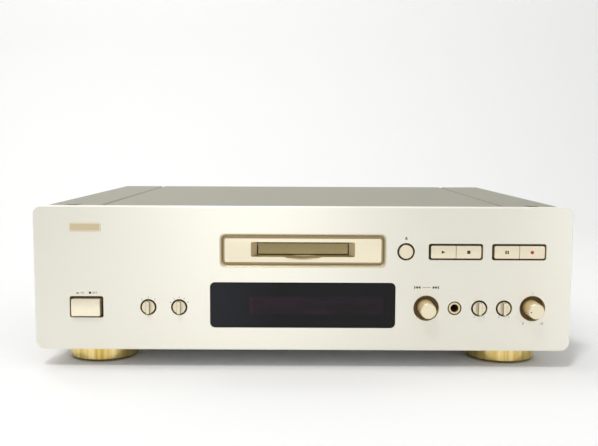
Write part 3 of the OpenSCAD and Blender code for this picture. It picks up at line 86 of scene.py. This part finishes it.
class Finish:
    """A Principled material with textures and masks in the row frame's metres."""

    def __init__(self, name, colour, metallic=0.0, rough=0.5):
        self.mat = bpy.data.materials.new(name)
        self.mat.use_nodes = True
        self.tree = self.mat.node_tree
        self.bsdf = self.tree.nodes["Principled BSDF"]
        self.bsdf.inputs["Base Color"].default_value = (*colour, 1)
        self.bsdf.inputs["Metallic"].default_value = metallic
        self.bsdf.inputs["Roughness"].default_value = rough
        self.coord = None

    def node(self, kind, **values):
        made = self.tree.nodes.new(kind)
        for key, value in values.items():
            setattr(made, key, value)
        return made

    def link(self, source, target):
        self.tree.links.new(source, target)

    def place(self):
        if self.coord is None:
            self.coord = self.node("ShaderNodeTexCoord").outputs["Object"]
        return self.coord

    def math(self, operation, first, second=0.0):
        made = self.node("ShaderNodeMath", operation=operation)
        for socket, value in zip(made.inputs, (first, second)):
            if isinstance(value, (int, float)):
                socket.default_value = value
            else:
                self.link(value, socket)
        return made.outputs[0]

    def ramp(self, source, low, high, to_low=0.0, to_high=1.0):
        """The source runs from to_low to to_high while it goes from low to high."""
        made = self.node("ShaderNodeMapRange")
        names = ("From Min", "From Max", "To Min", "To Max")
        for key, value in zip(names, (low, high, to_low, to_high)):
            made.inputs[key].default_value = value
        self.link(source, made.inputs["Value"])
        return made.outputs["Result"]

    def axis(self, name):
        parts = self.node("ShaderNodeSeparateXYZ")
        self.link(self.place(), parts.inputs[0])
        return parts.outputs[name]

    def noise(self, scale, detail=4.0, stretch=(1, 1, 1)):
        mapping = self.node("ShaderNodeMapping")
        mapping.inputs["Scale"].default_value = stretch
        tex = self.node("ShaderNodeTexNoise")
        tex.inputs["Scale"].default_value = scale
        tex.inputs["Detail"].default_value = detail
        self.link(self.place(), mapping.inputs["Vector"])
        self.link(mapping.outputs["Vector"], tex.inputs["Vector"])
        return tex.outputs["Fac"]

    def drive(self, socket, source):
        self.link(source, self.bsdf.inputs[socket])

    def mix(self, socket, mask, colour):
        """Where the mask is one, a colour or a number takes the place of what the socket has."""
        target = self.bsdf.inputs[socket]
        data = "RGBA" if target.type == "RGBA" else "FLOAT"
        made = self.node("ShaderNodeMix", data_type=data)
        ends = [s for s in made.inputs if s.type == ("RGBA" if data == "RGBA" else "VALUE")]
        first, second = ends[-2:]
        if target.is_linked:
            self.link(target.links[0].from_socket, first)
        else:
            first.default_value = target.default_value
        second.default_value = (*colour, 1) if data == "RGBA" else colour
        self.link(mask, made.inputs[0])
        result = [s for s in made.outputs if s.type == first.type][0]
        self.link(result, target)

    def bump(self, source, strength, distance):
        made = self.node("ShaderNodeBump")
        made.inputs["Strength"].default_value = strength
        made.inputs["Distance"].default_value = distance
        self.link(source, made.inputs["Height"])
        self.link(made.outputs["Normal"], self.bsdf.inputs["Normal"])

    def shades(self, source, low, high):
        """The colour runs from the low one to the high one with the source."""
        made = self.node("ShaderNodeValToRGB")
        for stop, at, colour in ((0, 0.3, low), (1, 0.7, high)):
            made.color_ramp.elements[stop].position = at
            made.color_ramp.elements[stop].color = (*[min(1, c) for c in colour], 1)
        self.link(source, made.inputs["Fac"])
        self.drive("Base Color", made.outputs["Color"])

    def grain(self, source, colour, rough, colour_spread, rough_spread, strength, distance):
        low, high = ([c * (1 + way * colour_spread) for c in colour] for way in (-1, 1))
        self.shades(source, low, high)
        smooth, coarse = rough - rough_spread, rough + rough_spread
        self.drive("Roughness", self.ramp(source, 0.2, 0.8, smooth, coarse))
        self.bump(source, strength, distance)

    def inside(self, x, y, z, soft):
        """A mask that is one between each axis's bounds; None leaves an axis or an end free."""
        mask = None
        for name, bounds in (("X", x), ("Y", y), ("Z", z)):
            if bounds is None:
                continue
            at = self.axis(name)
            low, high = bounds
            for edge, part in (
                (low, lambda: self.ramp(at, low - soft, low + soft)),
                (high, lambda: self.ramp(at, high - soft, high + soft, 1.0, 0.0)),
            ):
                if edge is not None:
                    one = part()
                    mask = one if mask is None else self.math("MULTIPLY", mask, one)
        return mask


# scratches per metre along each axis
ALONG_X = (12, 12, 2600)
ALONG_Y = (1400, 8, 1400)
TURNED = (1800, 6, 1800)

GILT_METALLIC = 0.8
CONTROL_GOLD, CONTROL_ROUGH = (0.80, 0.73, 0.55), 0.32
# painted shade for the wells behind the panel's face
PAINTED_WELL_SHADE = (0.62, 0.45, 0.19)
BRUSH_DEPTH, GRAIN_DEPTH, STREAK_DEPTH = 0.02 * MM, 0.03 * MM, 0.02 * MM


def brushed(name, colour, rough, stretch, metallic=1.0, spread=0.02):
    made = Finish(name, colour, metallic, rough)
    made.grain(made.noise(1.0, 3.0, stretch), colour, rough, spread, 0.06, 0.25, BRUSH_DEPTH)
    return made


def grained(name, colour, metallic, rough, scale):
    made = Finish(name, colour, metallic, rough)
    made.grain(made.noise(scale), colour, rough, 0.06, 0.05, 0.3, GRAIN_DEPTH)
    return made


SMALL_KNOBS = {
    "timer_knob": "timer",
    "input_select_knob": "input_select",
    "phones_level_knob": "phones_level",
    "balance_knob": "balance",
}


def panel_material():
    """Champagne aluminium, with a painted highlight on its edges and painted shade where the
    wells go in behind the face.
    """
    colour = (0.84, 0.82, 0.725)
    made = brushed("panel_aluminium", colour, 0.36, ALONG_X, GILT_METALLIC, spread=0.01)
    made.bsdf.inputs["Anisotropic"].default_value = 0.8
    made.bsdf.inputs["Anisotropic Rotation"].default_value = 0.25
    # painted highlight: the panel's sides and edges behind the face take a lighter, less
    # metallic colour
    edge = made.ramp(made.axis("Y"), FACE_Y + 0.05 * MM, FACE_Y + 0.15 * MM)
    made.mix("Base Color", edge, (0.92, 0.90, 0.81))
    made.mix("Metallic", edge, 0.35)
    # painted shade: the walls of the wells behind the face take a dark brown, less metallic
    # colour
    rim = 7 * MM
    wells = made.inside(
        (PANEL_LOW[0] + rim, PANEL_HIGH[0] - rim),
        (FACE_Y + 0.45 * MM, PANEL_HIGH[1] - 0.1 * MM),
        (BASE_Z + rim, TOP_Z - rim),
        0.2 * MM,
    )
    made.mix("Base Color", wells, PAINTED_WELL_SHADE)
    made.mix("Metallic", wells, 0.15)
    return made


def bezel_material():
    """Light gold, with painted shade in the channel round the island and down the funnel."""
    colour = (0.86, 0.79, 0.60)
    made = brushed("bezel_gold", colour, CONTROL_ROUGH, ALONG_X, GILT_METALLIC, spread=0.01)
    low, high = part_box("slot_bezel")
    mid_x, mid_z = (low[0] + high[0]) / 2, (low[2] + high[2]) / 2
    # painted shade: darker golds deep in the channel round the island and down the funnel
    depth = made.axis("Y")
    deep = made.ramp(depth, FACE_Y + 1.9 * MM, FACE_Y + 3.2 * MM)
    made.mix("Base Color", deep, (0.36, 0.28, 0.15))
    half_w, half_h = 43 * MM, 6.2 * MM
    funnel = made.inside(
        (mid_x - half_w, mid_x + half_w),
        (FACE_Y + 1.28 * MM, None),
        (mid_z - half_h, mid_z + half_h),
        0.03 * MM,
    )
    made.mix("Base Color", funnel, (0.46, 0.36, 0.19))
    return made


def phones_material():
    """A gilt ferrule on a dark socket body; the dark brown behind the ferrule is partly the
    body's own colour, partly painted shade down the bore.
    """
    made = brushed("phones_gold", (0.74, 0.61, 0.37), 0.26, ALONG_Y)
    # partly the socket body's own dark colour, partly painted shade down the bore
    body = made.ramp(made.axis("Y"), FACE_Y + 1.4 * MM, FACE_Y + 1.6 * MM)
    made.mix("Base Color", body, (0.16, 0.11, 0.045))
    made.mix("Metallic", body, 0.0)
    made.mix("Roughness", body, 0.6)
    return made


def jacks_material():
    """Gilt shells behind, black bodies inside the cabinet."""
    made = brushed("jack_gold", (0.83, 0.62, 0.26), 0.22, ALONG_Y)
    body = made.ramp(made.axis("Y"), REAR_Y + 0.1 * MM, REAR_Y + 0.3 * MM, 1.0, 0.0)
    made.mix("Base Color", body, (0.02, 0.02, 0.02))
    made.mix("Metallic", body, 0.0)
    made.mix("Roughness", body, 0.5)
    return made


def window_material():
    """Smoked acrylic, clearer over the display tube behind it, with a painted reflection that
    lightens it towards the left.
    """
    made = Finish("window_smoke", (0.004, 0.004, 0.005), 0.0, 0.3)
    low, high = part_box("display_window")
    # painted reflection: the smoke is lighter and bluer towards its left end
    left = made.ramp(made.axis("X"), low[0], low[0] + 60 * MM, 1.0, 0.0)
    made.mix("Base Color", left, (0.013, 0.014, 0.018))
    low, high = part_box("display_tube")
    mid_z, rim = (low[2] + high[2]) / 2, 2 * MM
    rows = (mid_z - 7.5 * MM, mid_z + 6.5 * MM)
    clear = made.inside((low[0] + rim, high[0] - rim), None, rows, 1.5 * MM)
    grid = made.ramp(made.noise(60, 3, (0.4, 1, 2.5)), 0.35, 0.65, 0.3, 1.0)
    clear = made.math("MULTIPLY", clear, grid)
    made.mix("Base Color", clear, (0.012, 0.0015, 0.008))
    edge = made.inside((low[0] + rim, low[0] + 2 * rim), None, rows, 0.8 * MM)
    made.mix("Base Color", edge, (0.032, 0.004, 0.016))
    made.mix("Transmission Weight", clear, 0.3)
    made.bsdf.inputs["Specular IOR Level"].default_value = 0.2
    return made


def cover_material():
    """Taupe paint, with painted shade down in the seams beside the top plate."""
    made = grained("cover_paint", (0.285, 0.275, 0.20), 0.5, 0.45, 2400)
    side = made.math("ABSOLUTE", made.axis("X"))
    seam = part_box("side_cover_right")[0][0]
    # painted shade: a dark band along each seam between the top plate and a side cover
    seam_shade = made.math(
        "MULTIPLY",
        made.ramp(side, seam - 1.6 * MM, seam - 1.1 * MM),
        made.ramp(side, seam + 0.6 * MM, seam + 1.1 * MM, 1.0, 0.0),
    )
    made.mix("Base Color", seam_shade, (0.09, 0.08, 0.06))
    return made


def case_screw_material():
    """Black screws, painted like the covers where they sit in the upper dishes."""
    made = grained("screw_black", (0.03, 0.03, 0.03), 0.7, 0.35, 1800)
    upper = made.ramp(made.axis("Z"), TOP_Z - 6 * MM, TOP_Z - 5.9 * MM)
    made.mix("Base Color", upper, (0.24, 0.225, 0.18))
    return made


def foot_material():
    """Turned brass with vertical bands round it, partly polishing marks and partly painted
    reflections of the lamps, and painted shade along its bottom.
    """
    dark, light = (0.62, 0.42, 0.06), (1.0, 0.81, 0.40)
    made = Finish("foot_brass", light, 1.0)
    # the light and dark bands round the brass are partly polishing marks, partly painted
    # reflections of the lamps
    polish_and_reflection_bands = made.noise(210, 3, (1, 1, 0.02))
    made.shades(polish_and_reflection_bands, dark, light)
    made.drive("Roughness", made.ramp(polish_and_reflection_bands, 0.2, 0.8, 0.2, 0.12))
    made.bump(polish_and_reflection_bands, 0.1, STREAK_DEPTH)
    # painted shade along the bottom of the brass
    lower = made.ramp(made.axis("Z"), 2.0 * MM, 2.6 * MM, 1.0, 0.0)
    made.mix("Base Color", lower, (0.30, 0.21, 0.07))
    return made


def grip_material(name):
    """A small knob's gold, with painted shade on the flanks of its grip."""
    made = brushed(name + "_gold", CONTROL_GOLD, CONTROL_ROUGH, TURNED, GILT_METALLIC)
    low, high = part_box(name)
    mid = (low[0] + high[0]) / 2
    off = made.math("ABSOLUTE", made.math("SUBTRACT", made.axis("X"), mid))
    # painted shade: the flanks of the grip take a dark brown
    flank = made.math(
        "MULTIPLY",
        made.ramp(off, 1.1 * MM, 1.25 * MM),
        made.ramp(made.axis("Y"), FACE_Y - 1.0 * MM, FACE_Y - 0.6 * MM, 1.0, 0.0),
    )
    made.mix("Base Color", flank, (0.26, 0.20, 0.11))
    return made


def knob_material():
    """Turned gold, with a deeper gold painted down the side of the knob as a reflection of the
    gold well round it.
    """
    made = brushed("knob_gold", (0.82, 0.74, 0.54), CONTROL_ROUGH, TURNED, GILT_METALLIC)
    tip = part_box("jog_knob")[0][1]
    # painted reflection: the side of the knob takes a deeper, less metallic gold
    side = made.ramp(made.axis("Y"), tip + 0.6 * MM, tip + 1.4 * MM)
    made.mix("Base Color", side, (0.88, 0.70, 0.38))
    made.mix("Metallic", side, 0.35)
    return made


def make_materials():
    made = {
        "panel_aluminium": panel_material(),
        "frame_plastic": grained("frame_plastic", (0.20, 0.14, 0.058), 0.2, 0.55, 900),
        "badge_gold": brushed("badge_gold", (0.66, 0.56, 0.36), 0.36, ALONG_X, GILT_METALLIC),
        "bezel_gold": bezel_material(),
        "flap_olive": grained("flap_olive", (0.31, 0.25, 0.11), 0.35, 0.4, 1600),
        "window_smoke": window_material(),
        "tube_glass": Finish("tube_glass", (0.45, 0.06, 0.30), 0.0, 0.25),
        "sensor_dark": Finish("sensor_dark", (0.05, 0.01, 0.02), 0.0, 0.2),
        "board_phenolic": grained("board_phenolic", (0.42, 0.27, 0.10), 0.0, 0.55, 700),
        "screw_zinc": grained("screw_zinc", (0.66, 0.66, 0.64), 1.0, 0.35, 1800),
        "switch_black": grained("switch_black", (0.03, 0.03, 0.033), 0.0, 0.45, 1500),
        "button_gold": brushed(
            "button_gold", CONTROL_GOLD, CONTROL_ROUGH, ALONG_X, GILT_METALLIC
        ),
        "knob_gold": knob_material(),
        "shaft_steel": brushed("shaft_steel", (0.62, 0.62, 0.63), 0.25, ALONG_Y),
        "plunger_white": grained("plunger_white", (0.78, 0.78, 0.74), 0.0, 0.5, 900),
        "control_grey": grained("control_grey", (0.14, 0.16, 0.16), 0.0, 0.5, 1200),
        "jack_gold": jacks_material(),
        "tray_zinc": grained("tray_zinc", (0.60, 0.61, 0.62), 1.0, 0.42, 260),
        "rear_paint": grained("rear_paint", (0.022, 0.022, 0.024), 0.1, 0.5, 1300),
        "cover_paint": cover_material(),
        "screw_black": case_screw_material(),
        "foot_brass": foot_material(),
        "rubber_black": grained("rubber_black", (0.02, 0.02, 0.02), 0.0, 0.85, 1000),
        "holder_steel": brushed("holder_steel", (0.66, 0.67, 0.68), 0.28, ALONG_Y),
        "mech_plastic": grained("mech_plastic", (0.04, 0.04, 0.045), 0.0, 0.5, 1200),
        "gear_nylon": grained("gear_nylon", (0.80, 0.77, 0.66), 0.0, 0.45, 1200),
        "motor_can": brushed("motor_can", (0.50, 0.51, 0.53), 0.3, ALONG_Y),
        "core_iron": grained("core_iron", (0.08, 0.07, 0.06), 0.4, 0.5, 1500),
        "capacitor_sleeve": grained("capacitor_sleeve", (0.02, 0.025, 0.06), 0.0, 0.3, 900),
        "sink_black": brushed("sink_black", (0.05, 0.05, 0.05), 0.4, ALONG_Y),
        "board_green": grained("board_green", (0.02, 0.12, 0.05), 0.0, 0.4, 700),
        "chip_black": grained("chip_black", (0.02, 0.02, 0.022), 0.0, 0.55, 1500),
        "port_black": grained("port_black", (0.018, 0.018, 0.02), 0.0, 0.5, 1500),
    }
    return {key: value.mat for key, value in made.items()}


def dress_nodes(materials):
    for entry in frame["record"]["subparts"]:
        mesh = NODES[entry["node"]].data
        mesh.materials.clear()
        mesh.materials.append(materials[entry["material_slot"]])
    NODES["phones_jack"].data.materials[0] = phones_material().mat
    for name in SMALL_KNOBS:
        NODES[name].data.materials[0] = grip_material(name).mat
    # painted light: the power button's gold is a lighter copy of the button gold, for the light
    # its face catches
    power = brushed("power_gold_lit", (0.92, 0.85, 0.66), CONTROL_ROUGH, ALONG_X, GILT_METALLIC)
    NODES["power_button"].data.materials[0] = power.mat


def round_edges():
    """A small radius on the edges of the pieces that fingers touch."""
    widths = {
        "power_button": 0.6, "eject_button": 0.5, "play_button": 0.4, "stop_button": 0.4,
        "pause_button": 0.4, "rec_button": 0.4, "jog_knob": 0.5, "input_level_knob": 0.5,
        "badge_plate": 0.15, "slot_flap": 0.2,
    }
    for name, width in widths.items():
        edge = NODES[name].modifiers.new("edge", "BEVEL")
        edge.width = width * MM
        edge.segments = 3
        edge.limit_method = "ANGLE"
        edge.angle_limit = math.radians(50)


# ------------------------------------------------------------------- marks

INK_T = 0.03 * MM
ON_FLAT, ON_CONTROL = 0.02 * MM, 0.1 * MM


def plate(name, outlines, face_y, mat, body, sunk=ON_FLAT):
    """Thin marks proud of a face and sunk in it, from outlines of (x, z) in millimetres."""
    verts, faces = [], []
    for outline in outlines:
        start, count = len(verts), len(outline)
        for y in (face_y - INK_T, face_y + sunk):
            verts += [(x * MM, y, BASE_Z + z * MM) for x, z in outline]
        faces.append(tuple(start + i for i in range(count)))
        faces.append(tuple(start + count + i for i in reversed(range(count))))
        for i in range(count):
            j = (i + 1) % count
            faces.append((start + j, start + i, start + count + i, start + count + j))
    mesh = bpy.data.meshes.new(name)
    mesh.from_pydata(verts, [], faces)
    mesh.materials.append(mat)
    obj = bpy.data.objects.new(name, mesh)
    bpy.context.scene.collection.objects.link(obj)
    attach(obj, body)


def bar(x, z, w, h):
    left, right, low, high = x - w / 2, x + w / 2, z - h / 2, z + h / 2
    return [(left, low), (right, low), (right, high), (left, high)]


def triangle(x, z, w, h, way=1):
    points = [(x - way * w / 2, z - h / 2), (x + way * w / 2, z), (x - way * w / 2, z + h / 2)]
    return points[::way]


def disc(x, z, r, count=32):
    turns = [2 * math.pi * i / count for i in range(count)]
    return [(x + r * math.cos(a), z + r * math.sin(a)) for a in turns]


def around(x, z, angle, r):
    """The point at a radius; the angle is clockwise from the top, in degrees."""
    turn = math.radians(angle)
    return x + r * math.sin(turn), z + r * math.cos(turn)


def tick(x, z, angle, r0, r1, w):
    """A short radial line."""
    turn = math.radians(angle)
    dx, dz = math.cos(turn) * w / 2, -math.sin(turn) * w / 2
    (ax, az), (bx, bz) = around(x, z, angle, r0), around(x, z, angle, r1)
    return [(ax + dx, az + dz), (bx + dx, bz + dz), (bx - dx, bz - dz), (ax - dx, az - dz)]


def glyphs(text, x, z, h):
    """Plain letters and digits from bars, centred at (x, z)."""
    w, line = 0.68 * h, 0.17 * h
    outlines = []
    left = x - (len(text) - 1) * 0.5 * (w + 0.3 * h)
    for i, letter in enumerate(text):
        at = left + i * (w + 0.3 * h)
        side = w / 2 - line / 2
        if letter == "1":
            outlines.append(bar(at + side, z, line, h))
            continue
        outlines.append(bar(at - side, z, line, h))
        if letter in "O0":
            outlines.append(bar(at + side, z, line, h))
            for way in (-1, 1):
                outlines.append(bar(at, z + way * (h - line) / 2, w - 2 * line, line))
        elif letter == "N":
            outlines.append(bar(at + side, z, line, h))
            inner = w / 2 - line
            outlines.append([(at - inner, z + h / 2 - 1.4 * line), (at + inner, z - h / 2),
                             (at + inner, z - h / 2 + 1.4 * line), (at - inner, z + h / 2)])
        elif letter == "F":
            outlines.append(bar(at + line / 2, z + (h - line) / 2, w - line, line))
            outlines.append(bar(at + line / 4, z, w - 1.5 * line, line))
    return outlines


def centre(name):
    """Middle of a CAD node across the front, in millimetres from the panel's lower edge."""
    low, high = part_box(name)
    return (low[0] + high[0]) / 2 / MM, ((low[2] + high[2]) / 2 - BASE_Z) / MM


def make_marks():
    ink = Finish("ink_dark", (0.025, 0.022, 0.018), 0.0, 0.7).mat
    pale = Finish("ink_grey", (0.22, 0.21, 0.18), 0.0, 0.6).mat
    red = Finish("ink_red", (0.42, 0.02, 0.015), 0.0, 0.6).mat
    white = Finish("ink_white_pointer_glint", (0.85, 0.85, 0.80), 0.0, 0.5).mat
    face = FACE_Y

    # transport marks on the keys
    key_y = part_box("play_button")[0][1]
    x, z = centre("play_button")
    plate("play_mark", [triangle(x, z, 3.0, 2.7)], key_y, ink, "play", ON_CONTROL)
    x, z = centre("stop_button")
    plate("stop_mark", [bar(x, z, 2.6, 2.6)], key_y, ink, "stop", ON_CONTROL)
    x, z = centre("pause_button")
    bars = [bar(x + step, z, 1.1, 2.6) for step in (-0.85, 0.85)]
    plate("pause_mark", bars, key_y, ink, "pause", ON_CONTROL)
    x, z = centre("rec_button")
    plate("record_mark", [disc(x, z, 1.4)], key_y, red, "record", ON_CONTROL)

    # eject mark above its button
    x, z = centre("eject_button")
    up = [(x - 1.1, z + 10.7), (x + 1.1, z + 10.7), (x, z + 12.3)]
    plate("eject_mark", [up, bar(x, z + 10.1, 2.2, 0.5)], face, ink, "cabinet")

    # skip marks over the jog knob
    x, z = centre("jog_knob")
    skip = [bar(x, z + 17, 7, 0.3)]
    for way in (-1, 1):
        skip += [triangle(x + way * step, z + 17, 2.1, 2.4, way) for step in (6, 8.1)]
        skip.append(bar(x + way * 9.6, z + 17, 0.7, 2.4))
    plate("skip_marks", skip, face, ink, "cabinet")

    # scales round the turning knobs, and their pointer dots
    tick_w, dot_r, dot_sides = 0.4, 0.55, 20
    scales = {
        "timer_knob": (-40, 0, 40),
        "input_select_knob": (-60, -30, 0, 30, 60),
        "phones_level_knob": (-150, 150),
        "balance_knob": (-150, 150),
    }
    for name, angles in scales.items():
        x, z = centre(name)
        marks = [tick(x, z, a, 7.4, 8.9, tick_w) for a in angles]
        plate(name + "_scale", marks, face, pale, "cabinet")
    x, z = centre("input_level_knob")
    scale = [tick(x, z, 0, 11.9, 13.2, tick_w)]
    scale += glyphs("0", x - 7.3, z - 12.2, 1.7) + glyphs("10", x + 7.6, z - 12.2, 1.7)
    plate("input_level_scale", scale, face, pale, "cabinet")
    tip_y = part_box("input_level_knob")[0][1]
    dot = disc(*around(x, z, -98, 4.4), dot_r, dot_sides)
    plate("input_level_pointer", [dot], tip_y, ink, "input_level", ON_CONTROL)
    # the white dots at the tops of the small knobs' grips are pointer dots that also stand for a
    # painted highlight on each grip's sloped top
    for name, body in SMALL_KNOBS.items():
        x, z = centre(name)
        dot = disc(x, z + 3.6, dot_r, dot_sides)
        plate(name + "_pointer", [dot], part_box(name)[0][1], white, body, ON_CONTROL)

    # plain raised rim round the badge
    low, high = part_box("badge_plate")
    x, z = centre("badge_plate")
    w, h = (high[0] - low[0]) / MM, (high[2] - low[2]) / MM
    rim = 0.5
    bars = [bar(x, z + way * (h / 2 - rim), w - rim, rim) for way in (-1, 1)]
    bars += [bar(x + way * (w / 2 - rim), z, rim, h - 3 * rim) for way in (-1, 1)]
    light = brushed("badge_rim", (0.86, 0.78, 0.60), 0.3, ALONG_X, GILT_METALLIC)
    plate("badge_rim", bars, low[1], light.mat, "cabinet")

    # in and out marks over the power button, with their words
    x, z = centre("power_button")
    plate("power_marks", [bar(x - 7, z + 11.3, 2.4, 0.8), bar(x + 3, z + 11.6, 1.8, 1.8)],
          face, ink, "cabinet")
    words = glyphs("ON", x - 3.2, z + 11.6, 1.5) + glyphs("OFF", x + 7, z + 11.6, 1.5)
    plate("power_words", words, face, pale, "cabinet")


# ------------------------------------------------------------------ studio


def area_light(name, place, aim, size, watts):
    data = bpy.data.lights.new(name, "AREA")
    data.shape = "RECTANGLE"
    data.size, data.size_y = size
    data.energy = watts
    lamp = bpy.data.objects.new(name, data)
    bpy.context.scene.collection.objects.link(lamp)
    lamp.location = place
    lamp.rotation_euler = (Vector(aim) - Vector(place)).to_track_quat("-Z", "Y").to_euler()


def make_studio():
    front, back, bend, wall_top, half, steps = -6.0, 1.0, 0.5, 3.0, 5.0, 12
    profile = [(front, 0.0), (back, 0.0)]
    for i in range(1, steps + 1):
        turn = math.radians(90 * i / steps)
        profile.append((back + bend * math.sin(turn), bend * (1 - math.cos(turn))))
    profile.append((back + bend, wall_top))
    verts = [(s * half, y, z) for y, z in profile for s in (-1, 1)]
    faces = [(2 * i, 2 * i + 1, 2 * i + 3, 2 * i + 2) for i in range(len(profile) - 1)]
    mesh = bpy.data.meshes.new("backdrop")
    mesh.from_pydata(verts, [], faces)
    for poly in mesh.polygons:
        poly.use_smooth = True
    mesh.materials.append(Finish("paper", (0.91, 0.91, 0.905), 0.0, 0.8).mat)
    floor = bpy.data.objects.new("backdrop", mesh)
    bpy.context.scene.collection.objects.link(floor)

    world = bpy.data.worlds.new("studio")
    world.use_nodes = True
    world.node_tree.nodes["Background"].inputs["Color"].default_value = (1, 1, 1, 1)
    world.node_tree.nodes["Background"].inputs["Strength"].default_value = 0.48
    bpy.context.scene.world = world
    area_light("key", (-0.35, -1.25, 1.75), (0, 0, 0), (0.25, 0.25), 15)
    area_light("overhead", (-0.45, -0.1, 2.2), (-0.05, 0.1, 0), (2.6, 2.0), 7.2)
    area_light("bright", (-0.1, -2.6, 0.95), (-0.1, 0, 0.1), (0.6, 1.8), 4.5)
    area_light("right", (1.35, -2.2, 0.9), (0.1, 0, 0.1), (0.7, 1.6), 8)
    area_light("wall", (-0.8, 0.75, 1.9), (-0.4, 1.5, 0.7), (1.8, 0.5), 10.3)
    bpy.context.scene.view_settings.view_transform = "Standard"


make_camera()
dress_nodes(make_materials())
round_edges()
make_marks()
make_studio()
